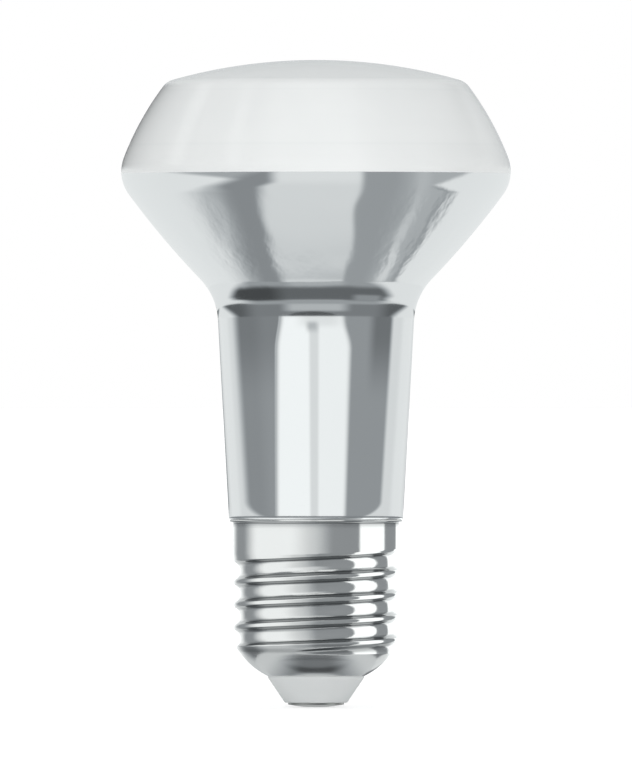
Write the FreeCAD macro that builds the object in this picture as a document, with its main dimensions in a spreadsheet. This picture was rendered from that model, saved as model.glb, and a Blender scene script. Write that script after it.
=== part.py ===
import FreeCAD, Part
import math
import os

import Sketcher

# A reflector bulb, cap down. Z is its axis, and z = 0 is the lowest point of its contact.
# Heights are measured up from there, and all sizes are in millimetres and degrees.

os.makedirs("parts", exist_ok=True)
doc = FreeCAD.newDocument("reflector_bulb")

# Driving sizes
SIZES = {
    # Envelope
    "overall_length": 104.0,
    "bulb_dia": 62.6,
    "widest_height": 86.1,
    "crown_radius": 85.0,
    "crown_dia": 46.0,
    "crown_edge_radius": 3.0,
    "side_radius": 48.0,
    "waist_edge_radius": 6.3,
    "cone_radius": 135.0,
    "throat_radius": 10.3,
    "reflector_depth": 23.9,
    "neck_taper": 3.15,
    "neck_overhang": 0.2,
    "neck_foot_radius": 0.6,
    "plug_length": 10.0,
    "plug_clearance": 0.3,
    # Cap shell
    "cap_height": 30.2,
    "sheet_wall": 0.3,
    "lip_overhang": 0.5,
    "lip_thickness": 0.5,
    "lip_edge_radius": 0.2,
    "skirt_step": 0.1,
    "skirt_length": 5.6,
    "skirt_taper_length": 0.7,
    "thread_major_dia": 26.4,
    "thread_depth": 1.07,
    "thread_pitch": 3.629,
    "crest_radius": 0.5,
    "crest_land": 0.3,
    "groove_drop": 0.225,
    "runout_turns": 0.4,
    "runout_angle": 45.0,
    "flare_length": 2.6,
    "bowl_height": 10.3,
    "bowl_radius": 12.0,
    "rim_dia": 15.6,
    "rim_height": 5.0,
    # Insulator
    "insulator_clearance": 0.05,
    "flange_clearance": 1.33,
    "flange_drop": 1.5,
    "insulator_step": 0.25,
    "insulator_end_margin": 0.3,
    "insulator_edge_radius": 0.4,
    # Contact
    "contact_dia": 9.0,
    "contact_height": 0.7,
    "contact_edge_height": 0.3,
    "contact_edge_radius": 0.15,
    "shank_dia": 2.4,
    "shank_clearance": 0.05,
    "shank_tail": 1.2,
}

sheet = doc.addObject("Spreadsheet::Sheet", "sizes")
for row, (alias, value) in enumerate(SIZES.items(), start=1):
    sheet.set(f"A{row}", alias)
    sheet.set(f"B{row}", str(value))
    sheet.setAlias(f"B{row}", alias)
doc.recompute()


def new_body(name):
    """A body with its own label, which names its file."""
    body = doc.addObject("PartDesign::Body", name)
    body.Label = name
    return body


def profile_sketch(body, name):
    """A sketch on the body's own XZ plane: x is the radius and y the height."""
    sketch = body.newObject("Sketcher::SketchObject", name)
    plane = next(f for f in body.Origin.OriginFeatures if f.Role == "XZ_Plane")
    sketch.AttachmentSupport = (plane, [""])
    sketch.MapMode = "FlatFace"
    return sketch


# Every sketch has its origin as point 1 of element -1, and its upright axis as element -2.


def line(sketch, start, end):
    """A straight stretch. Its ends are points 1 and 2."""
    ends = [FreeCAD.Vector(x, y, 0) for x, y in (start, end)]
    return sketch.addGeometry(Part.LineSegment(*ends), False)


def arc(sketch, centre, radius, start_angle, end_angle, construction=False):
    """A round stretch, counter-clockwise from point 1 to point 2. Point 3 is its centre."""
    circle = Part.Circle(FreeCAD.Vector(*centre, 0), FreeCAD.Vector(0, 0, 1), radius)
    ends = math.radians(start_angle), math.radians(end_angle)
    return sketch.addGeometry(Part.ArcOfCircle(circle, *ends), construction)


def join(sketch, kind, first, first_point, second, second_point):
    """Two stretches meet end to end, with or without a corner."""
    sketch.addConstraint(
        Sketcher.Constraint(kind, first, first_point, second, second_point)
    )


def bind(sketch, expression, kind, *geometry):
    """A dimension that follows the sheet."""
    value = sketch.evalExpression(expression)
    if kind == "Angle":
        value = math.radians(value)
    index = sketch.addConstraint(Sketcher.Constraint(kind, *geometry, value))
    sketch.setExpression(f"Constraints[{index}]", expression)


def at_radius(sketch, expression, element, point):
    """This point's distance from the bulb's axis."""
    bind(sketch, expression, "DistanceX", -1, 1, element, point)


def at_height(sketch, expression, element, point):
    """This point's height above the contact's lowest point."""
    bind(sketch, expression, "DistanceY", -1, 1, element, point)


def level(sketch, *elements):
    for element in elements:
        sketch.addConstraint(Sketcher.Constraint("Horizontal", element))


def upright(sketch, *elements):
    for element in elements:
        sketch.addConstraint(Sketcher.Constraint("Vertical", element))


def on_axis(sketch, *points):
    for element, point in points:
        sketch.addConstraint(Sketcher.Constraint("PointOnObject", element, point, -2))


def revolve(body, sketch, name):
    """The sketch turned once round the bulb's axis."""
    turned = body.newObject("PartDesign::Revolution", name)
    turned.Profile = sketch
    turned.ReferenceAxis = (sketch, ["V_Axis"])
    turned.Angle = 360.0
    doc.recompute()
    return turned


def round_rings(body, feature, name, expression, wanted):
    """A fillet on the feature's circular edges that wanted picks by radius and height."""
    rings = []
    for index, edge in enumerate(feature.Shape.Edges, start=1):
        if edge.Degenerated or not isinstance(edge.Curve, Part.Circle):
            continue
        if wanted(edge.Curve.Radius, edge.Curve.Center.z):
            rings.append(f"Edge{index}")
    fillet = body.newObject("PartDesign::Fillet", name)
    fillet.Base = (feature, rings)
    fillet.Radius = sheet.get(expression)
    fillet.setExpression("Radius", f"sizes.{expression}")
    doc.recompute()
    return fillet


# Radii of the cap that follow from its thread, which the neck and the insulator are fitted to
THREAD_ROOT = "(sizes.thread_major_dia / 2 - sizes.thread_depth)"
THREAD_BORE = f"({THREAD_ROOT} - sizes.sheet_wall)"
SKIRT = "(sizes.thread_major_dia / 2 + sizes.skirt_step)"
LIP = f"({SKIRT} + sizes.lip_overhang)"

# The blown envelope: crown, side, mirrored cone, throat and neck are one wall of glass.
# It is sealed, so it is solid, and it ends in the plug that is cemented into the cap.
glass_bulb = new_body("glass_bulb")
outline = profile_sketch(glass_bulb, "envelope_outline")
crown = arc(outline, (0.0, 19.0), 85.0, 74.3, 90.0)
crown_edge = arc(outline, (22.2, 97.9), 3.0, 37.0, 74.3)
side = arc(outline, (-13.8, 70.8), 48.0, 21.5, 37.0)
waist_edge = arc(outline, (25.0, 86.1), 6.3, -35.3, 21.5)
cone = arc(outline, (-80.0, 160.5), 135.0, -43.0, -35.3)
throat = arc(outline, (26.0, 61.6), 10.3, 137.0, 176.85)
neck = line(outline, (14.0, 30.8), (15.7, 62.2))
neck_foot = arc(outline, (13.4, 30.8), 0.6, -90.0, -3.15)
seat = line(outline, (13.4, 30.2), (11.5, 30.2))
plug_side = line(outline, (11.5, 30.2), (11.5, 20.2))
plug_end = line(outline, (11.5, 20.2), (0.0, 20.2))
axis = line(outline, (0.0, 20.2), (0.0, 104.0))

join(outline, "Tangent", crown, 1, crown_edge, 2)
join(outline, "Tangent", crown_edge, 1, side, 2)
join(outline, "Tangent", side, 1, waist_edge, 2)
join(outline, "Tangent", waist_edge, 1, cone, 2)
join(outline, "Tangent", cone, 1, throat, 1)
join(outline, "Tangent", throat, 2, neck, 2)
join(outline, "Tangent", neck, 1, neck_foot, 2)
join(outline, "Tangent", neck_foot, 1, seat, 1)
join(outline, "Coincident", seat, 2, plug_side, 1)
join(outline, "Coincident", plug_side, 2, plug_end, 1)
join(outline, "Coincident", plug_end, 2, axis, 1)
join(outline, "Coincident", axis, 2, crown, 2)
on_axis(outline, (crown, 3), (axis, 1))
level(outline, seat, plug_end)
upright(outline, axis, plug_side)
bind(outline, "sizes.crown_radius", "Radius", crown)
bind(outline, "sizes.crown_edge_radius", "Radius", crown_edge)
bind(outline, "sizes.side_radius", "Radius", side)
bind(outline, "sizes.waist_edge_radius", "Radius", waist_edge)
bind(outline, "sizes.cone_radius", "Radius", cone)
bind(outline, "sizes.throat_radius", "Radius", throat)
bind(outline, "sizes.neck_foot_radius", "Radius", neck_foot)
at_height(outline, "sizes.overall_length", crown, 2)
at_radius(outline, "sizes.crown_dia / 2", crown, 1)
at_radius(outline, "sizes.bulb_dia / 2 - sizes.waist_edge_radius", waist_edge, 3)
at_height(outline, "sizes.widest_height", waist_edge, 3)
at_height(outline, "sizes.widest_height - sizes.reflector_depth", throat, 2)
bind(outline, "90 - sizes.neck_taper", "Angle", neck)
at_radius(outline, f"{LIP} + sizes.neck_overhang", neck, 1)
at_height(outline, "sizes.cap_height", seat, 2)
at_radius(outline, f"{THREAD_BORE} - sizes.plug_clearance", plug_side, 1)
at_height(outline, "sizes.cap_height - sizes.plug_length", plug_end, 2)
doc.recompute()
revolve(glass_bulb, outline, "envelope")


def bowl_arc(sketch, construction):
    """The outside of the shell's bowl, from the rim (point 1) up to the thread (point 2)."""
    bowl = arc(sketch, (2.5, 15.8), 12.0, -63.5, -27.5, construction)
    bind(sketch, "sizes.bowl_radius", "Radius", bowl)
    at_radius(sketch, "sizes.rim_dia / 2", bowl, 1)
    at_height(sketch, "sizes.rim_height", bowl, 1)
    at_radius(sketch, "sizes.thread_major_dia / 2", bowl, 2)
    at_height(sketch, "sizes.bowl_height", bowl, 2)
    return bowl


def bowl_inside_arc(sketch, bowl, end_angle):
    """The inside of the same bowl, one sheet wall in."""
    inside = arc(sketch, (2.5, 15.8), 11.7, -63.5, end_angle)
    join(sketch, "Coincident", inside, 3, bowl, 3)
    bind(sketch, "sizes.bowl_radius - sizes.sheet_wall", "Radius", inside)
    return inside


# The cap shell: thin sheet, rolled with a lip, a plain skirt, the thread and a bowl
cap_shell = new_body("cap_shell")
section = profile_sketch(cap_shell, "shell_section")
lip_top = line(section, (13.0, 30.2), (13.8, 30.2))
lip_side = line(section, (13.8, 30.2), (13.8, 29.7))
lip_under = line(section, (13.8, 29.7), (13.3, 29.7))
skirt = line(section, (13.3, 29.7), (13.3, 24.6))
skirt_taper = line(section, (13.3, 24.6), (13.2, 23.9))
thread_land = line(section, (13.2, 23.9), (13.2, 10.3))
bowl = bowl_arc(section, False)
rim = line(section, (7.8, 5.0), (7.8, 5.4))
bowl_inside = bowl_inside_arc(section, bowl, -37.0)
thread_bore = line(section, (11.8, 8.6), (11.8, 24.0))
bore_flare = line(section, (11.8, 24.0), (13.0, 26.2))
skirt_bore = line(section, (13.0, 26.2), (13.0, 30.2))

for corner in (
    (lip_top, 2, lip_side, 1),
    (lip_side, 2, lip_under, 1),
    (lip_under, 2, skirt, 1),
    (skirt, 2, skirt_taper, 1),
    (skirt_taper, 2, thread_land, 1),
    (thread_land, 2, bowl, 2),
    (bowl, 1, rim, 1),
    (rim, 2, bowl_inside, 1),
    (bowl_inside, 2, thread_bore, 1),
    (thread_bore, 2, bore_flare, 1),
    (bore_flare, 2, skirt_bore, 1),
    (skirt_bore, 2, lip_top, 1),
):
    join(section, "Coincident", *corner)
level(section, lip_top, lip_under)
upright(section, lip_side, skirt, thread_land, rim, thread_bore, skirt_bore)

SKIRT_FOOT = "sizes.cap_height - sizes.skirt_length"
THREAD_TOP = f"({SKIRT_FOOT} - sizes.skirt_taper_length)"
GROOVE_END = f"({THREAD_TOP} - sizes.groove_drop)"
at_height(section, "sizes.cap_height", lip_top, 1)
at_radius(section, LIP, lip_side, 1)
at_height(section, "sizes.cap_height - sizes.lip_thickness", lip_side, 2)
at_radius(section, SKIRT, skirt, 1)
at_height(section, SKIRT_FOOT, skirt, 2)
at_height(section, THREAD_TOP, thread_land, 1)
at_radius(section, THREAD_BORE, thread_bore, 1)
at_height(section, f"{GROOVE_END} + sizes.sheet_wall", thread_bore, 2)
at_radius(section, f"{SKIRT} - sizes.sheet_wall", skirt_bore, 1)
at_height(section, f"{GROOVE_END} + sizes.flare_length", skirt_bore, 1)
doc.recompute()
blank = revolve(cap_shell, section, "blank")
round_rings(
    cap_shell,
    blank,
    "lip_rounding",
    "lip_edge_radius",
    lambda radius, height: radius > section.evalExpression(f"{SKIRT} + sizes.lip_overhang / 2"),
)


def cut_groove(name, turns, angle, root_height):
    """A helical cut in the blank: a round root between two rounded crests, turned upward."""
    sketch = profile_sketch(cap_shell, f"{name}_section")
    middle = sketch.evalExpression(root_height)
    below = arc(sketch, (12.7, middle - 1.81), 0.5, 9.0, 62.0)
    root = arc(sketch, (13.7, middle), 1.55, 118.0, 242.0)
    above = arc(sketch, (12.7, middle + 1.81), 0.5, 298.0, 351.0)
    mouth_top = line(sketch, (13.2, middle + 1.72), (13.8, middle + 1.72))
    outside = line(sketch, (13.8, middle + 1.72), (13.8, middle - 1.72))
    mouth_foot = line(sketch, (13.8, middle - 1.72), (13.2, middle - 1.72))
    bottom = sketch.addGeometry(Part.Point(FreeCAD.Vector(12.13, middle, 0)), True)

    join(sketch, "Tangent", below, 2, root, 2)
    join(sketch, "Tangent", root, 1, above, 1)
    join(sketch, "Coincident", above, 2, mouth_top, 1)
    join(sketch, "Coincident", mouth_top, 2, outside, 1)
    join(sketch, "Coincident", outside, 2, mouth_foot, 1)
    join(sketch, "Coincident", mouth_foot, 2, below, 1)
    sketch.addConstraint(
        [
            Sketcher.Constraint("Horizontal", mouth_top),
            Sketcher.Constraint("Horizontal", mouth_foot),
            Sketcher.Constraint("Vertical", outside),
            Sketcher.Constraint("PointOnObject", bottom, 1, root),
            Sketcher.Constraint("Horizontal", bottom, 1, root, 3),
        ]
    )
    crest_centre = (
        "sizes.thread_major_dia / 2"
        " - sqrt(sizes.crest_radius ^ 2 - (sizes.crest_land / 2) ^ 2)"
    )
    mouth = "(sizes.thread_pitch / 2 - sizes.crest_land / 4)"
    at_radius(sketch, THREAD_ROOT, bottom, 1)
    at_radius(sketch, LIP, outside, 1)
    for crest, end, sign in ((below, 1, "-"), (above, 2, "+")):
        bind(sketch, "sizes.crest_radius", "Radius", crest)
        at_radius(sketch, crest_centre, crest, 3)
        at_height(sketch, f"{root_height} {sign} sizes.thread_pitch / 2", crest, 3)
        at_height(sketch, f"{root_height} {sign} {mouth}", crest, end)
    doc.recompute()

    groove = cap_shell.newObject("PartDesign::SubtractiveHelix", name)
    groove.Profile = sketch
    groove.ReferenceAxis = (sketch, ["V_Axis"])
    groove.Mode = "pitch-turns-angle"
    groove.setExpression("Pitch", "sizes.thread_pitch")
    groove.setExpression("Turns", turns)
    groove.setExpression("Angle", angle)
    doc.recompute()
    return groove


# The groove starts outside the bowl, more than one turn below its top, and runs into it
TURNS = f"(ceil(({GROOVE_END} - sizes.bowl_height) / sizes.thread_pitch) + 1)"
GROOVE_START = f"({GROOVE_END} - {TURNS} * sizes.thread_pitch)"
cut_groove("thread_runout", "sizes.runout_turns", "sizes.runout_angle", GROOVE_END)
cut_groove("thread_groove", TURNS, "0", GROOVE_START)


# The insulator: a flange that seats on the inside of the bowl, a waist through the rim
# and the cone below it, bored for the contact's shank
cap_insulator = new_body("cap_insulator")
moulding = profile_sketch(cap_insulator, "insulator_section")
bowl_outside = bowl_arc(moulding, True)
flange_seat = bowl_inside_arc(moulding, bowl_outside, -47.0)
flange_side = line(moulding, (10.5, 7.2), (10.5, 8.8))
flange_top = line(moulding, (10.5, 8.8), (1.25, 8.8))
shank_bore = line(moulding, (1.25, 8.8), (1.25, 0.7))
end_face = line(moulding, (1.25, 0.7), (4.8, 0.7))
end_edge = arc(moulding, (4.8, 1.1), 0.4, -90.0, -33.0)
cone_side = line(moulding, (5.1, 0.9), (7.75, 4.75))
waist = line(moulding, (7.75, 4.75), (7.75, 5.3))
for corner in (
    (flange_seat, 2, flange_side, 1),
    (flange_side, 2, flange_top, 1),
    (flange_top, 2, shank_bore, 1),
    (shank_bore, 2, end_face, 1),
    (cone_side, 2, waist, 1),
    (waist, 2, flange_seat, 1),
):
    join(moulding, "Coincident", *corner)
join(moulding, "Tangent", end_face, 2, end_edge, 1)
join(moulding, "Tangent", end_edge, 2, cone_side, 1)
level(moulding, flange_top, end_face)
upright(moulding, flange_side, shank_bore, waist)

at_radius(moulding, f"{THREAD_BORE} - sizes.flange_clearance", flange_side, 1)
INSULATOR_TOP = "(sizes.bowl_height - sizes.flange_drop)"
at_height(moulding, INSULATOR_TOP, flange_top, 1)
at_radius(moulding, "sizes.shank_dia / 2 + sizes.shank_clearance", shank_bore, 1)
at_height(moulding, "sizes.contact_height", end_face, 1)
at_radius(moulding, "sizes.contact_dia / 2 + sizes.insulator_end_margin", end_face, 2)
bind(moulding, "sizes.insulator_edge_radius", "Radius", end_edge)
at_radius(moulding, "sizes.rim_dia / 2 - sizes.insulator_clearance", waist, 1)
at_height(moulding, "sizes.rim_height - sizes.insulator_step", waist, 1)
doc.recompute()
revolve(cap_insulator, moulding, "insulator")


# The contact: a shallow domed button on a shank that is pressed through the insulator
centre_contact = new_body("centre_contact")
button = profile_sketch(centre_contact, "contact_section")
dome = arc(button, (0.0, 25.5), 25.5, -90.0, -79.8)
button_side = line(button, (4.5, 0.4), (4.5, 0.7))
button_back = line(button, (4.5, 0.7), (1.2, 0.7))
shank_side = line(button, (1.2, 0.7), (1.2, 10.0))
shank_end = line(button, (1.2, 10.0), (0.0, 10.0))
shank_axis = line(button, (0.0, 10.0), (0.0, 0.0))
for corner in (
    (dome, 2, button_side, 1),
    (button_side, 2, button_back, 1),
    (button_back, 2, shank_side, 1),
    (shank_side, 2, shank_end, 1),
    (shank_end, 2, shank_axis, 1),
    (shank_axis, 2, dome, 1),
    (shank_axis, 2, -1, 1),
):
    join(button, "Coincident", *corner)
on_axis(button, (dome, 3))
level(button, button_back, shank_end)
upright(button, button_side, shank_side, shank_axis)
at_radius(button, "sizes.contact_dia / 2", button_side, 1)
at_height(button, "sizes.contact_height - sizes.contact_edge_height", button_side, 1)
at_height(button, "sizes.contact_height", button_back, 1)
at_radius(button, "sizes.shank_dia / 2", shank_side, 1)
at_height(button, f"{INSULATOR_TOP} + sizes.shank_tail", shank_side, 2)
doc.recompute()
contact_blank = revolve(centre_contact, button, "contact_blank")
round_rings(
    centre_contact,
    contact_blank,
    "contact_rounding",
    "contact_edge_radius",
    lambda radius, height: radius > SIZES["shank_dia"] and height < SIZES["contact_height"],
)


doc.recompute()
for item in doc.Objects:
    faults = {"Invalid", "Error"} & set(item.State)
    if faults:
        raise RuntimeError(f"{item.Name} is {faults}")
nodes = [glass_bulb, cap_shell, cap_insulator, centre_contact]
for node in nodes:
    if node.Shape.isNull() or not node.Shape.isValid():
        raise RuntimeError(f"{node.Label} has no valid shape")
for node in nodes:
    node.Shape.exportStep(f"parts/{node.Label}.step")
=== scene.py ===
import math

import bmesh
import bpy
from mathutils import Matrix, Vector


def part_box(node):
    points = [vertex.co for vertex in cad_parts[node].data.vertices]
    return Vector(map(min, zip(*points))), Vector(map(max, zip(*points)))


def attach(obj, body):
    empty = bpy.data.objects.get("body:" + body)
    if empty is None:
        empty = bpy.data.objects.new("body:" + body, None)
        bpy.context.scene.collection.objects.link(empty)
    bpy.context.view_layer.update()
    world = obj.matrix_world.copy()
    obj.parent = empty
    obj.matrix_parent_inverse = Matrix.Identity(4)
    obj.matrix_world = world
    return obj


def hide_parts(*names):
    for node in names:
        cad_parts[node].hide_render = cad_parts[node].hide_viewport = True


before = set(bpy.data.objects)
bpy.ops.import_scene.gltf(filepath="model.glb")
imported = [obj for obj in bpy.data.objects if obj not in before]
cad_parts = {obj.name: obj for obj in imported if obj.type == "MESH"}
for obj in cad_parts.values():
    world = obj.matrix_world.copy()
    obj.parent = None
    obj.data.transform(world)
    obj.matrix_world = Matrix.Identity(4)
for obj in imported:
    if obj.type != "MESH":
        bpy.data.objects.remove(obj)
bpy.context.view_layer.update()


# The glass envelope: one blown bulb of thin glass, frosted above its widest ring and mirrored
# with aluminium below it. It narrows to a neck whose end is cemented into the cap.
mm = 0.001
glass_foot, glass_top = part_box("glass_bulb")
cap_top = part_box("cap_shell")[1]
columns_round = 256
crease_angle = math.radians(35)

crown_radius = 85 * mm
crown_edge_radius = 3 * mm
crown_reach = 23 * mm
side_radius = 48 * mm
waist_radius = 6.3 * mm
waist_height = 86.1 * mm
cone_radius = 135 * mm
throat_radius = 10.3 * mm
throat_height = 62.2 * mm
neck_taper = math.radians(3.15)
neck_foot_reach = 14 * mm
neck_foot_radius = 0.25 * mm
plug_reach = 11.53 * mm
mirror_edge = 85.75 * mm
waves_foot = (66 * mm, 72 * mm)
waves_head = (80 * mm, 84.5 * mm)
# Heights of two darker rings painted into the frost as reflections
painted_reflection_rings = ((90.1 * mm, 90.5 * mm), (98.9 * mm, 99.2 * mm))
# The frost's colours: the darker one also carries the crown's painted shade
frost_thin_and_shaded = (0.765, 0.79, 0.79, 1)
frost_thick_and_unshaded = (0.888, 0.903, 0.898, 1)
mirror_dull = (0.86, 0.87, 0.875, 1)
mirror_bright = (0.89, 0.9, 0.905, 1)


def start_outline(reach, height):
    """A new mesh with one point, from which an outline is drawn in the XZ plane."""
    outline = bmesh.new()
    outline.verts.new((reach, 0, height))
    return outline


def pen(outline):
    """The point that was drawn last."""
    outline.verts.ensure_lookup_table()
    return outline.verts[-1]


def line_to(outline, reach, height, steps=1):
    """Draws a straight stretch in equal steps."""
    start = pen(outline).co.copy()
    end = Vector((reach, 0, height))
    for step in range(1, steps + 1):
        drawn = bmesh.ops.extrude_vert_indiv(outline, verts=[pen(outline)])
        drawn["verts"][0].co = start.lerp(end, step / steps)


def arc_to(outline, centre, end, steps):
    """Draws an arc about a centre, the short way round, until it points at the end."""
    start = pen(outline).co.xz - centre
    turn = start.angle_signed(end - centre)
    bmesh.ops.spin(
        outline,
        geom=[pen(outline)],
        cent=(centre.x, 0, centre.y),
        axis=(0, 1, 0),
        angle=turn,
        steps=steps,
    )


def meet(a, from_a, b, from_b, side):
    """The point at these distances from a and from b, on one side of the line between them."""
    gap = b - a
    along = (gap.length_squared + from_a**2 - from_b**2) / (2 * gap.length)
    off = math.sqrt(from_a**2 - along**2) * side
    across = Vector((-gap.y, gap.x)).normalized()
    return a + gap.normalized() * along + across * off


def beyond(a, b, reach):
    """The point at this distance from a, on the line through b."""
    return a + (b - a).normalized() * reach


def turn_outline(outline):
    """Turns the outline once round the bulb's axis and closes its poles."""
    bmesh.ops.spin(
        outline,
        geom=outline.verts[:] + outline.edges[:],
        cent=(0, 0, 0),
        axis=(0, 0, 1),
        angle=2 * math.pi,
        steps=columns_round,
        use_merge=True,
    )
    bmesh.ops.remove_doubles(outline, verts=outline.verts, dist=0.001 * mm)
    bmesh.ops.recalc_face_normals(outline, faces=outline.faces)


def add_object(name, shape, material):
    """Turns the shape into a mesh object at the origin."""
    mesh = bpy.data.meshes.new(name)
    shape.to_mesh(mesh)
    shape.free()
    mesh.materials.append(material)
    added = bpy.data.objects.new(name, mesh)
    bpy.context.scene.collection.objects.link(added)
    return added


def finish_piece(name, shape, material, node):
    """Makes the shape a smooth-shaded piece that stands for its node."""
    for face in shape.faces:
        face.smooth = True
    for edge in shape.edges:
        edge.smooth = edge.calc_face_angle(0) < crease_angle
    piece = add_object(name, shape, material)
    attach(piece, "root")
    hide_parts(node)


class Signal:
    """An output of a node. Sums and products of signals add their own Math nodes."""

    def __init__(self, tree, socket=None):
        self.tree = tree
        self.socket = socket

    def node(self, kind, settings, sockets, output=0):
        """Adds a node: its settings first, then the values or links of its sockets."""
        added = self.tree.nodes.new(kind)
        for name, value in settings.items():
            setattr(added, name, value)
        for name, value in sockets.items():
            if isinstance(value, Signal):
                self.tree.links.new(value.socket, added.inputs[name])
            else:
                added.inputs[name].default_value = value
        return Signal(self.tree, added.outputs[output])

    def maths(self, operation, first, second=0.0):
        return self.node("ShaderNodeMath", {"operation": operation}, {0: first, 1: second})

    def least(self, other):
        return self.maths("MINIMUM", self, other)

    def most(self, other):
        return self.maths("MAXIMUM", self, other)

    def root(self):
        return self.maths("SQRT", self)

    def __add__(self, other):
        return self.maths("ADD", self, other)

    def __radd__(self, other):
        return self.maths("ADD", other, self)

    def __sub__(self, other):
        return self.maths("SUBTRACT", self, other)

    def __rsub__(self, other):
        return self.maths("SUBTRACT", other, self)

    def __mul__(self, other):
        return self.maths("MULTIPLY", self, other)

    def __rmul__(self, other):
        return self.maths("MULTIPLY", other, self)

    def __truediv__(self, other):
        return self.maths("DIVIDE", self, other)

    def __neg__(self):
        return self.maths("MULTIPLY", self, -1.0)

    def __abs__(self):
        return self.maths("ABSOLUTE", self)

    def rise(self, start, end):
        """0 before start and 1 after end, with a smooth step between them."""
        return self.node(
            "ShaderNodeMapRange",
            {"interpolation_type": "SMOOTHSTEP"},
            {"Value": self, "From Min": start, "From Max": end},
        )

    def band(self, start, end, soft):
        """1 between start and end and 0 outside, each edge as wide as soft."""
        inside = self.rise(start - soft / 2, start + soft / 2)
        return inside * (1 - self.rise(end - soft / 2, end + soft / 2))

    def painted(self, mask, level):
        """This signal with a level laid over it where the mask is 1."""
        return self + (level - self) * mask

    def mix(self, low, high):
        """A colour that goes from low to high as this signal goes from 0 to 1."""
        return self.node(
            "ShaderNodeMix",
            {"data_type": "RGBA"},
            {"Factor": self, 6: low, 7: high},
            output=2,
        )

    def axes(self):
        """The three numbers of this vector."""
        split = self.node("ShaderNodeSeparateXYZ", {}, {0: self})
        return [Signal(self.tree, output) for output in split.socket.node.outputs]

    def stretched(self, scale):
        """This place with each axis scaled by itself, so that a pattern is drawn out."""
        settings = {"operation": "MULTIPLY"}
        return self.node("ShaderNodeVectorMath", settings, {0: self, 1: scale})

    def noise(self, scale, detail=2.0):
        """Smooth noise at this place, about 0.5."""
        sockets = {"Vector": self, "Scale": scale, "Detail": detail}
        return self.node("ShaderNodeTexNoise", {}, sockets)

    def bump(self, distance):
        """A normal that leans as if this were the surface's height, times the distance."""
        return self.node("ShaderNodeBump", {}, {"Height": self, "Distance": distance})


def new_material(name):
    """A material, its shader, and the place on the object that its patterns read."""
    material = bpy.data.materials.new(name)
    material.use_nodes = True
    shader = material.node_tree.nodes["Principled BSDF"]
    place = Signal(material.node_tree).node("ShaderNodeTexCoord", {}, {}, output="Object")
    return material, shader, place


def feed(node, **sockets):
    """Sets or links the node's sockets, whose names have spaces for underscores."""
    for name, value in sockets.items():
        socket = node.inputs[name.replace("_", " ")]
        if isinstance(value, Signal):
            node.id_data.links.new(value.socket, socket)
        else:
            socket.default_value = value


def envelope_shape():
    crown = Vector((0, glass_top.z - crown_radius))
    crown_end = Vector((crown_reach, crown.y + math.sqrt(crown_radius**2 - crown_reach**2)))
    crown_edge = beyond(crown, crown_end, crown_radius - crown_edge_radius)
    waist = Vector((glass_top.x - waist_radius, waist_height))
    side = meet(
        crown_edge, side_radius - crown_edge_radius, waist, side_radius - waist_radius, -1
    )
    foot = Vector(
        (
            neck_foot_reach - neck_foot_radius * math.cos(neck_taper),
            cap_top.z + neck_foot_radius,
        )
    )
    neck_foot = Vector((neck_foot_reach, foot.y - neck_foot_radius * math.sin(neck_taper)))
    neck_top = Vector(
        (
            neck_foot_reach + (throat_height - neck_foot.y) * math.tan(neck_taper),
            throat_height,
        )
    )
    throat = neck_top + throat_radius * Vector((math.cos(neck_taper), -math.sin(neck_taper)))
    cone = meet(waist, cone_radius - waist_radius, throat, cone_radius + throat_radius, -1)

    outline = start_outline(0, glass_top.z)
    arc_to(outline, crown, crown_end, 40)
    arc_to(outline, crown_edge, beyond(side, crown_edge, side_radius), 10)
    arc_to(outline, side, beyond(side, waist, side_radius), 28)
    arc_to(outline, waist, beyond(cone, waist, cone_radius), 24)
    arc_to(outline, cone, beyond(cone, throat, cone_radius), 48)
    arc_to(outline, throat, neck_top, 24)
    line_to(outline, *neck_foot, steps=60)
    arc_to(outline, foot, Vector((foot.x, cap_top.z)), 8)
    line_to(outline, plug_reach, cap_top.z)
    line_to(outline, plug_reach, glass_foot.z, steps=4)
    line_to(outline, 0, glass_foot.z, steps=4)
    turn_outline(outline)
    return outline


def envelope_glass():
    material, shader, place = new_material("frosted_and_mirrored_glass")
    x, y, z = place.axes()
    reach = (x * x + y * y).root()
    mirrored = 1 - z.rise(mirror_edge - 0.05 * mm, mirror_edge + 0.05 * mm)
    drift = place.noise(30.0)

    # Shallow waves in the blown cone, and small crinkles in parts of it
    drawn = place.stretched((1, 1, 0.3)).noise(110.0, detail=1.0) - 0.5
    crinkled = place.stretched((1, 1, 0.35)).noise(420.0) - 0.5
    cone_part = z.rise(*waves_foot) * (1 - 0.85 * z.rise(*waves_head))
    waves = (drawn * 0.3 + crinkled * 0.09 * drift.rise(0.42, 0.6)) * cone_part * mirrored
    grain = place.noise(9000.0) * (1 - mirrored) * 0.004

    # Painted shade makes the frost darker at the crown's middle, two darker rings are painted
    # reflections, and the rest of its tone varies at random
    rings = place.stretched((0.06, 0.06, 1)).noise(260.0)
    streaks = place.stretched((1, 1, 0.12)).noise(90.0) - 0.5
    frost_tone_and_shade = 0.5 * drift + 0.3 * rings + 0.5 * streaks - 0.15
    # Painted shade: the frost is darker towards the crown's middle
    frost_tone_and_shade = frost_tone_and_shade + 0.35 * reach.rise(5 * mm, 23 * mm)
    # Two darker rings of painted reflection
    for low, high in painted_reflection_rings:
        frost_tone_and_shade = frost_tone_and_shade - 0.12 * z.band(low, high, 0.3 * mm)

    frost = frost_tone_and_shade.mix(frost_thin_and_shaded, frost_thick_and_unshaded)
    mirror = drift.mix(mirror_dull, mirror_bright)
    feed(
        shader,
        Base_Color=mirrored.mix(frost, mirror),
        Metallic=mirrored,
        Roughness=0.42 - 0.36 * mirrored + 0.05 * drift,
        Coat_Weight=1 - mirrored,
        Coat_Roughness=0.04,
        Normal=(waves + grain).bump(1 * mm),
    )
    return material


finish_piece("glass_envelope", envelope_shape(), envelope_glass(), "glass_bulb")


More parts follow.
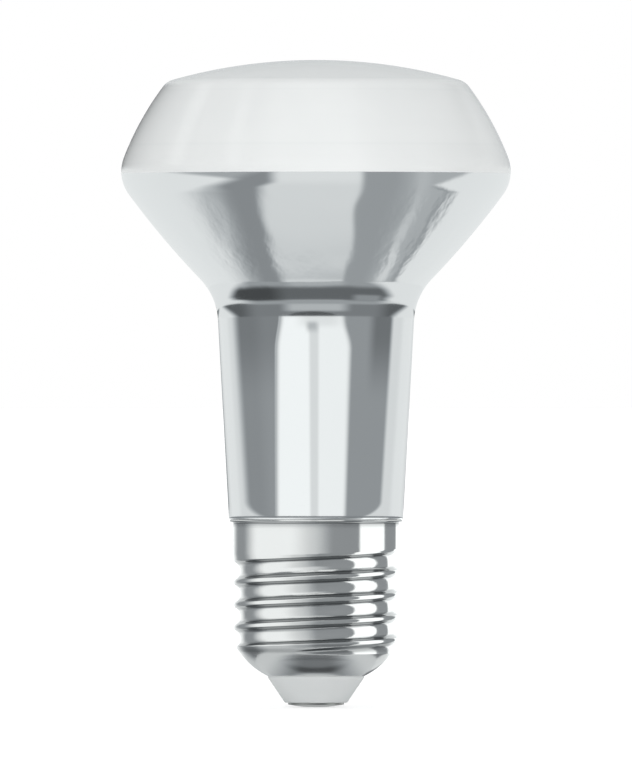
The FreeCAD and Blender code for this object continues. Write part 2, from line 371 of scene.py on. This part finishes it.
# The cap shell: thin nickel-plated sheet, drawn to a cup, its thread rolled in afterwards. The
# rolled groove runs out into the plain skirt at the top and into the bowl at the bottom.
thread_reach = 13.2 * mm
thread_depth = 1.07 * mm
pitch = 3.629 * mm
crest_radius = 0.5 * mm
crest_land = 0.3 * mm
last_groove = 23.675 * mm
turns = 5
runout_turns = 0.4
sheet_wall = 0.3 * mm
lip_thickness = 0.5 * mm
lip_edge_radius = 0.2 * mm
skirt_reach = 13.3 * mm
skirt_foot = 24.6 * mm
taper_foot = 23.9 * mm
bowl_top = 10.3 * mm
bowl_radius = 12 * mm
rim_reach = 7.8 * mm
rim_height = 5 * mm
flare_top = 26.275 * mm
row_height = 0.09 * mm
thread_fade_in = (bowl_top - 1.8 * mm, bowl_top - 1 * mm)
thread_fade_out = (26 * mm, 27 * mm)
bowl_fade_out = (bowl_top - 1.5 * mm, bowl_top)
# Heights of the painted shade on the shoulder and the painted shadow under the lip
shoulder_shade = (8.9 * mm, 9.5 * mm)
lip_shade = (cap_top.z - 0.7 * mm, cap_top.z - 0.22 * mm)
plate_dull = (0.80, 0.80, 0.795, 1)
plate_bright = (0.86, 0.86, 0.855, 1)
# The colour of the plate's painted shade and painted dark reflections
plate_shade = (0.24, 0.25, 0.255, 1)

bowl_centre = meet(
    Vector((rim_reach, rim_height)),
    bowl_radius,
    Vector((thread_reach, bowl_top)),
    bowl_radius,
    1,
)


def inside_bowl(reach):
    """The height of the bowl's inside at this distance from the axis."""
    inner = bowl_radius - sheet_wall
    return bowl_centre.y - math.sqrt(inner**2 - (reach - bowl_centre.x) ** 2)


def groove_reach(offset):
    """The rolled groove's distance from the axis, by height from the middle of its root."""
    crest = thread_reach - math.sqrt(crest_radius**2 - (crest_land / 2) ** 2)
    step = thread_reach - thread_depth - crest
    root_radius = (step**2 + (pitch / 2) ** 2 - crest_radius**2) / (
        2 * (crest_radius - step)
    )
    root = thread_reach - thread_depth + root_radius
    if abs(offset) < pitch / 2 * root_radius / (root_radius + crest_radius):
        return root - math.sqrt(root_radius**2 - offset**2)
    rest = pitch / 2 - abs(offset)
    return crest + math.sqrt(crest_radius**2 - rest**2)


def roll_thread(shape):
    """Presses the helical groove into the blank's outer wall, level by level."""
    for vert in shape.verts:
        reach = vert.co.xy.length
        if reach < thread_reach - thread_depth and vert.co.z > bowl_top:
            continue
        if inside_wall(vert.co.z, reach):
            continue
        turn = math.atan2(vert.co.y, vert.co.x) / (2 * math.pi) % 1
        climb = (vert.co.z - last_groove) / pitch - turn
        groove = round(climb)
        if groove > 0 or groove < -turns:
            continue
        if groove == 0 and turn > runout_turns:
            continue
        pressed = groove_reach((climb - groove) * pitch)
        if groove == 0:
            pressed += turn * pitch
        if pressed < reach:
            vert.co.xy *= pressed / reach


def inside_wall(height, reach):
    """Whether a point of the blank lies on its bore and not on its outer wall."""
    if height >= bowl_top:
        return reach < thread_reach - sheet_wall / 2 and height < flare_top + lip_thickness
    return (Vector((reach, height)) - bowl_centre).length < bowl_radius - sheet_wall / 2


def shell_shape():
    lip_reach = cap_top.x
    bore = thread_reach - thread_depth - sheet_wall
    lip_side = lip_reach - lip_edge_radius
    lip_foot = cap_top.z - lip_thickness
    upper = Vector((lip_side, cap_top.z - lip_edge_radius))
    lower = Vector((lip_side, lip_foot + lip_edge_radius))
    skirt_rows = round((lip_foot - skirt_foot) / row_height)
    thread_rows = round((taper_foot - bowl_top) / row_height)

    outline = start_outline(skirt_reach - sheet_wall, cap_top.z)
    line_to(outline, lip_side, cap_top.z, steps=2)
    arc_to(outline, upper, Vector((lip_reach, upper.y)), 5)
    line_to(outline, lip_reach, lower.y)
    arc_to(outline, lower, Vector((lip_side, lip_foot)), 5)
    line_to(outline, skirt_reach, lip_foot)
    line_to(outline, skirt_reach, skirt_foot, steps=skirt_rows)
    line_to(outline, thread_reach, taper_foot, steps=8)
    line_to(outline, thread_reach, bowl_top, steps=thread_rows)
    arc_to(outline, bowl_centre, Vector((rim_reach, rim_height)), 64)
    line_to(outline, rim_reach, inside_bowl(rim_reach))
    arc_to(outline, bowl_centre, Vector((bore, inside_bowl(bore))), 12)
    line_to(outline, bore, last_groove + sheet_wall, steps=8)
    line_to(outline, skirt_reach - sheet_wall, flare_top, steps=3)
    line_to(outline, skirt_reach - sheet_wall, cap_top.z, steps=3)
    turn_outline(outline)
    roll_thread(outline)
    return outline


def nickel_plate():
    material, shader, place = new_material("nickel_plate")
    z = place.axes()[2]
    facing = place.node("ShaderNodeTexCoord", {}, {}, output="Normal")
    lean = abs(facing.axes()[2])
    drift = place.noise(60.0)
    thread = z.rise(*thread_fade_in) * (1 - z.rise(*thread_fade_out))
    bowl = 1 - z.rise(*bowl_fade_out)

    # Painted dark reflections on the groove's flanks, a painted shadow in a line under the lip,
    # and painted shade in a line on the shoulder
    lines = 0.75 * z.band(*lip_shade, 0.1 * mm) + 0.3 * z.band(*shoulder_shade, 0.35 * mm)
    shade = (lean.rise(0.45, 0.75) * thread + lines) * 0.85
    plate = drift.mix(plate_dull, plate_bright)

    # Rolling leaves fine lines round the sheet, and shallow dents in the thread
    rolled = place.stretched((0.05, 0.05, 6.0)).noise(1500.0, detail=3.0)
    dents = (place.stretched((1, 1, 0.6)).noise(330.0) - 0.5) * thread
    feed(
        shader,
        Base_Color=shade.mix(plate, plate_shade),
        Metallic=1.0,
        Roughness=0.1 + 0.1 * drift * rolled + 0.05 * bowl,
        Normal=(0.1 * rolled + dents).bump(0.05 * mm),
    )
    return material


finish_piece("threaded_cap_shell", shell_shape(), nickel_plate(), "cap_shell")


# The insulator: one moulding of pale plastic. Its flange sits on the inside of the bowl, and
# its cone stands out below the rim and carries the contact.
insulator_foot, insulator_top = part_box("cap_insulator")
waist_clearance = 0.05 * mm
waist_drop = 0.25 * mm
flange_reach = 10.5 * mm
end_reach = 4.8 * mm
end_edge_radius = 0.4 * mm
shank_bore_reach = 1.25 * mm
plastic_dull = (0.72, 0.745, 0.745, 1)
plastic_bright = (0.78, 0.80, 0.80, 1)


def insulator_shape():
    waist_reach = rim_reach - waist_clearance
    shoulder = Vector((waist_reach, rim_height - waist_drop))
    edge = Vector((end_reach, insulator_foot.z + end_edge_radius))
    run = shoulder - edge
    lean = math.asin(end_edge_radius / run.length)
    tangent = math.atan2(run.y, run.x) - (math.pi / 2 - lean)
    edge_end = edge + end_edge_radius * Vector((math.cos(tangent), math.sin(tangent)))

    outline = start_outline(shank_bore_reach, insulator_top.z)
    line_to(outline, flange_reach, insulator_top.z, steps=2)
    line_to(outline, flange_reach, inside_bowl(flange_reach))
    arc_to(outline, bowl_centre, Vector((waist_reach, inside_bowl(waist_reach))), 8)
    line_to(outline, *shoulder)
    line_to(outline, *edge_end, steps=12)
    arc_to(outline, edge, Vector((end_reach, insulator_foot.z)), 6)
    line_to(outline, shank_bore_reach, insulator_foot.z, steps=3)
    line_to(outline, shank_bore_reach, insulator_top.z, steps=4)
    turn_outline(outline)
    return outline


def pale_plastic():
    material, shader, place = new_material("pale_moulded_plastic")
    drift = place.noise(150.0)
    grain = place.noise(5000.0)
    feed(
        shader,
        Base_Color=drift.mix(plastic_dull, plastic_bright),
        Roughness=0.34 + 0.08 * drift,
        Normal=grain.bump(0.004 * mm),
    )
    return material


finish_piece(
    "insulator_moulding", insulator_shape(), pale_plastic(), "cap_insulator"
)


# The centre contact: a shallow domed button of plated brass, its shank pressed up through the
# insulator.
contact_foot, contact_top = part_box("centre_contact")
button_edge = 0.4 * mm
button_back = 0.7 * mm
shank_reach = 1.2 * mm
contact_dull = (0.42, 0.42, 0.41, 1)
contact_bright = (0.52, 0.52, 0.5, 1)


def contact_shape():
    reach = contact_top.x
    dome_radius = (reach**2 + button_edge**2) / (2 * button_edge)
    dome = Vector((0, dome_radius))
    outline = start_outline(0, contact_foot.z)
    arc_to(outline, dome, Vector((reach, button_edge)), 24)
    line_to(outline, reach, button_back, steps=3)
    line_to(outline, shank_reach, button_back, steps=3)
    line_to(outline, shank_reach, contact_top.z, steps=6)
    line_to(outline, 0, contact_top.z, steps=2)
    turn_outline(outline)
    return outline


def contact_plate():
    material, shader, place = new_material("contact_plate")
    drift = place.noise(400.0)
    feed(
        shader,
        Base_Color=drift.mix(contact_dull, contact_bright),
        Metallic=1.0,
        Roughness=0.25 + 0.1 * drift,
        Normal=drift.bump(0.01 * mm),
    )
    return material


finish_piece(
    "contact_button", contact_shape(), contact_plate(), "centre_contact"
)


# The camera: level with the middle of the picture and far off on a long lens, so that the
# bulb's rings show as straight lines.
picture_height = 123.45 * mm
camera_height = 51.92 * mm
camera_distance = 3.4

lens = bpy.data.cameras.new("camera")
lens.sensor_fit = "VERTICAL"
lens.sensor_height = 36
lens.lens = lens.sensor_height * camera_distance / picture_height
lens.clip_end = 100
camera = bpy.data.objects.new("camera", lens)
camera.location = (0, -camera_distance, camera_height)
camera.rotation_euler = (math.pi / 2, 0, 0)
bpy.context.scene.collection.objects.link(camera)
bpy.context.scene.camera = camera


# The studio: a white floor and white walls, with dark panels left and right of the bulb that
# only its mirrored and plated surfaces show. A sleeve of printed card round the neck and the
# cap, and a round of card under them, give them their own, narrower reflections.
bpy.context.scene.view_settings.view_transform = "Standard"
white = (1, 1, 1, 1)
dark_card = (0.93, 1.0, 1.045, 1)
pale_card = (0.97, 1.0, 1.0, 1)
floor_white = (0.9, 0.9, 0.9, 1)
floor_radius = 40
floor_glow = 0.36
walls_grey = 0.83
crown_grey = 0.62
left_grey = 0.28
strip_grey = 0.42
right_grey = 0.35
outline_grey = 0.22
sleeve_reach = 18.5 * mm
sleeve_top = 66.5 * mm
sleeve_foot = -1 * mm
sleeve_gap = 0.1 * mm
cap_print_top = (29.5, 29.7)
neck_print_top = (62.13, 62.23)
lip_line = (29.65, 30.1)
lip_line_grey = 0.26


def card_colour(level):
    """White card is neutral and dark card is a cool grey."""
    return level.rise(0.1, 0.9).mix(dark_card, pale_card)


def panels(slope, side):
    """What the mirrored cone shows from the front, by its own slope and its turn to the side."""
    # Pale walls, a little darker at the middle
    middle = 1 - abs(side).rise(0.26, 0.34)
    dip = 0.03 + 0.07 * slope.rise(0.2, 0.5) + 0.05 * slope.rise(0.75, 0.9)
    dip = dip + 0.13 * slope.rise(0.88, 0.97)
    seen = walls_grey + 0.02 * abs(side).rise(0.75, 0.95) - middle * dip

    # The left panel, and a paler strip at its outer end
    left = -side
    left_start = 0.22 + 0.065 * slope.rise(0.3, 0.5)
    left_end = (0.333 + 0.57 * slope).least(0.74)
    fade = 0.12 + 0.2 * slope.rise(0.4, 0.75)
    strip = left.rise(0.22, 0.34) * (1 - (left - 0.86 + 1.7 * slope).rise(-0.14, 0.06))
    panel = (left - left_start).rise(-0.045, 0.045) * (1 - (left - left_end).rise(-fade, 0.04))
    seen = seen.painted(strip, strip_grey).painted(panel, left_grey)

    # The right panel, with a streak in it and a dark outline at its outer end
    right_end = (0.63 + 0.45 * abs(slope - 0.4)).least(0.82 - 0.12 * slope)
    panel = side.rise(0.215, 0.265) * (1 - (side - right_end).rise(-0.035, 0.03))
    streak = side.band(0.515, 0.59, 0.06) * (0.06 + 0.2 * slope.rise(0.7, 0.95))
    outline = (side - right_end).band(-0.055, -0.015, 0.04) * slope.rise(0.4, 0.55)
    seen = seen.painted(panel, right_grey + 0.1 * side.rise(0.4, 0.54) + streak)
    seen = seen.painted(0.45 * outline * panel, outline_grey)

    # Soft gleams on the crown's coat, which fade out where it faces up
    gleams = left.band(0.68, 0.76, 0.06) + 0.8 * left.band(0.4, 0.47, 0.06)
    gleams = 0.7 * gleams - 0.3 * abs(side).rise(0.8, 1.0)
    seen = seen + gleams * (-slope).rise(0.05, 0.2)
    return seen.painted((-slope).rise(0.7, 1.2), crown_grey)


def studio_world():
    """Soft light from all round. Mirrors see the panels, and the camera sees white."""
    world = bpy.data.worlds.new("studio")
    bpy.context.scene.world = world
    world.use_nodes = True
    maths = Signal(world.node_tree)
    camera_ray = maths.node("ShaderNodeLightPath", {}, {}, output="Is Camera Ray")
    glossy_ray = maths.node("ShaderNodeLightPath", {}, {}, output="Is Glossy Ray")
    x, y, z = maths.node("ShaderNodeTexCoord", {}, {}, output="Generated").axes()

    # A mirror's normal lies half way between its reflected ray and the way to the camera
    away = (x * x + (1 - y) * (1 - y)).root()
    seen = panels(-z / away, x / away)
    soft = (0.54 + 1.85 * y * y - 0.03 * x) * (1 - 0.27 * z.rise(0.1, 1.0))
    tint = glossy_ray.mix(white, card_colour(seen))
    feed(
        world.node_tree.nodes["Background"],
        Color=camera_ray.mix(tint, white),
        Strength=soft.painted(glossy_ray, seen).painted(camera_ray, 1.0),
    )


def bare_material(name):
    """A material that has no shader yet, its output, and a start for its nodes."""
    material = bpy.data.materials.new(name)
    material.use_nodes = True
    tree = material.node_tree
    tree.nodes.remove(tree.nodes["Principled BSDF"])
    return material, tree.nodes["Material Output"], Signal(tree)


def floor():
    """A wide white floor that reflections don't show. The camera sees it glow a little."""
    material, output, maths = bare_material("white_floor")
    camera_ray = maths.node("ShaderNodeLightPath", {}, {}, output="Is Camera Ray")
    glossy_ray = maths.node("ShaderNodeLightPath", {}, {}, output="Is Glossy Ray")
    lit = maths.node("ShaderNodeBsdfDiffuse", {}, {"Color": floor_white})
    glow = maths.node("ShaderNodeEmission", {}, {"Strength": camera_ray * floor_glow})
    solid = maths.node("ShaderNodeAddShader", {}, {0: lit, 1: glow})
    clear = maths.node("ShaderNodeBsdfTransparent", {}, {})
    shown = maths.node("ShaderNodeMixShader", {}, {0: glossy_ray, 1: solid, 2: clear})
    feed(output, Surface=shown)

    shape = bmesh.new()
    bmesh.ops.create_circle(shape, cap_ends=True, segments=64, radius=floor_radius)
    add_object("floor", shape, material)


def add_card(name, shape, level_at):
    """Printed card that only reflections show. level_at gives its print from millimetres."""
    material, output, maths = bare_material(name)
    place = maths.node("ShaderNodeTexCoord", {}, {}, output="Object")
    x, y, z = place.axes()
    level = level_at(x / mm, y / mm, z / mm)
    sockets = {"Color": card_colour(level), "Strength": level}
    feed(output, Surface=maths.node("ShaderNodeEmission", {}, sockets))

    card = add_object(name, shape, material)
    card.visible_camera = False
    card.visible_diffuse = False
    card.visible_transmission = False
    card.visible_shadow = False
    card.visible_volume_scatter = False


def neck_print(height, angle):
    """White before the neck with a thin grey line, dark stripes beside it, then pale card."""
    narrow = height.rise(57, 63)
    upper = height.rise(48, 60)
    low = (32.7 - height).most(0)
    foot = 2.8 * low * low
    card = 0.84 - 0.09 * angle.band(-78, 76, 10)

    # The dark stripes, which turn in towards the middle at their foot
    from_left = angle - (-38.4 + 0.2 * height + 3 * narrow)
    from_right = angle - (23.5 - 6 * narrow)
    left = (angle - foot).rise(-74, -60) * (1 - from_left.rise(-3, 3))
    right = from_right.rise(-3, 3) * (1 - (angle + foot).rise(58, 64))
    card = card.painted(left, 0.29 - 0.08 * upper + 0.035 * angle.rise(-50, -34))
    card = card.painted(right, 0.325 - 0.14 * upper * angle.rise(36, 46))

    # The white between them, with a grey line at its left edge and one near its middle
    centre = from_left.rise(-3, 3) * (1 - from_right.rise(-3, 3))
    card = card.painted(centre, 1.02 - 0.05 * angle.rise(-8, 4))
    card = card.painted(from_left.band(-2.6, -1.2, 0.8), 0.5)
    card = card.painted(angle.band(-4.5, 1.8, 3), 0.77)

    # Under the throat the white is duller, with a small grey blot
    blot = height.rise(59.4, 60.9) * (1 - height.rise(61.1, 62.0))
    card = card.painted(angle.band(-10, 16, 14) * height.rise(60.2, 61.6), 0.84)
    return card.painted(angle.band(-6, 1, 5) * blot, 0.52)


def throat_print(height, angle):
    """Over the neck's print: dark tips, a pale line, and the dark band under the cone."""
    spread = abs(angle)

    # A dark ground, with a grey patch at the middle and a black oval under it
    card = 0.22 - 0.1 * spread.rise(40, 60)
    card = card.painted((1 - spread.rise(14, 26)) * height.rise(62.45, 62.7), 0.5)
    across = (angle + 2.5) / 17
    up = (height - 62.15) / 0.42
    card = card.painted(1 - (across * across + up * up).rise(0.7, 1.1), 0.1)

    # The dark band, paler at the right, and the grey panes above it
    band = 0.14 - 0.07 * angle.band(-60, -24, 16)
    band = band + 0.16 * angle.band(25, 45, 8) * (1 - height.rise(63.9, 64.2))
    card = card.painted(height.rise(63.4, 63.6), band)
    pane = 0.45 - 0.1 * angle.band(-44, -16, 8) - 0.1 * angle.band(16, 44, 8)
    card = card.painted(height.rise(64.7, 65.6), pane)

    # The pale line, which is higher and brighter at the sides
    wide = 0.22 * spread.rise(36, 62)
    line = (height - wide).rise(63.08, 63.22)
    line = line * (1 - (height - 1.2 * wide).rise(63.36, 63.54))
    card = card.painted(line, 0.36 + 0.42 * spread.rise(40, 62))

    # The pale card beyond the tips, which reach furthest just under the band
    above = height.rise(63.4, 63.7)
    tip = 64 + 22 * height.rise(61.8, 63.7) - 19 * above
    tip = tip - (4 + 8 * above) * angle.rise(-5, 5) - 9 * above * abs(height - 64.1)
    return card.painted((spread - tip).rise(-8, 6), 0.82)


def cap_print(height, angle):
    """Pale card that fades to grey at the middle, and one bright white strip on the right."""
    inward = angle - (-13 + 13 * height.rise(22.5, 24.5))
    fall = 0.5 * inward.rise(-26, 2) + 0.5 * inward.rise(-3, 17)
    card = 0.31 + 0.72 * angle.rise(-84, -58) * (1 - fall)
    card = card.painted(angle.band(41.5, 75, 3), 1.3)

    # Darker before the bowl, and just under the lip
    return card * (0.6 + 0.4 * height.rise(3.5, 7.5)) * (1 - 0.45 * height.rise(28.7, 29.6))


def sleeve_print(x, y, height):
    """The cap's print, the neck's above it, the throat's at the top, and a line at the lip."""
    angle = x.maths("ARCTAN2", x, abs(y)) * (180 / math.pi)
    card = neck_print(height, angle)
    card = card.painted(height.rise(*neck_print_top), throat_print(height, angle))
    card = cap_print(height, angle).painted(height.rise(*cap_print_top), card)
    return card.painted(height.band(*lip_line, 0.1), lip_line_grey)


def sleeve():
    """A sleeve of card round the neck and the cap, open at both ends."""
    shape = bmesh.new()
    bmesh.ops.create_circle(shape, segments=columns_round, radius=sleeve_reach)
    raised = bmesh.ops.extrude_edge_only(shape, edges=shape.edges[:])
    top = [item for item in raised["geom"] if isinstance(item, bmesh.types.BMVert)]
    bmesh.ops.translate(shape, verts=shape.verts[:], vec=(0, 0, sleeve_foot))
    bmesh.ops.translate(shape, verts=top, vec=(0, 0, sleeve_top - sleeve_foot))
    add_card("card_sleeve", shape, sleeve_print)


def ground_print(x, y, height):
    """Pale card, with a dark oval and two thin lines in front of the bulb and behind it."""
    reach = (x * x + y * y).root()
    lines = reach.band(12.4, 13.2, 0.5) + reach.band(14.2, 14.9, 0.5)
    lines = lines * (1 - abs(x).rise(5, 12))
    zone = (1 - abs(x).rise(3, 14)) * reach.rise(4, 6.2) * (1 - reach.rise(14.6, 15.6))
    across = (x - 0.8) / 11
    along = (abs(y) - 6.7) / 2
    core = 1 - (across * across + along * along).rise(0.1, 1.3)
    dark = (0.2 - 0.1 * lines).painted(core, 0.07)
    return (0.66 - 0.4 * lines).painted(zone, dark)


def ground():
    """A round of card that closes the sleeve's foot."""
    shape = bmesh.new()
    radius = sleeve_reach - sleeve_gap
    bmesh.ops.create_circle(shape, cap_ends=True, segments=columns_round, radius=radius)
    bmesh.ops.translate(shape, verts=shape.verts[:], vec=(0, 0, sleeve_foot))
    add_card("card_ground", shape, ground_print)


studio_world()
floor()
sleeve()
ground()
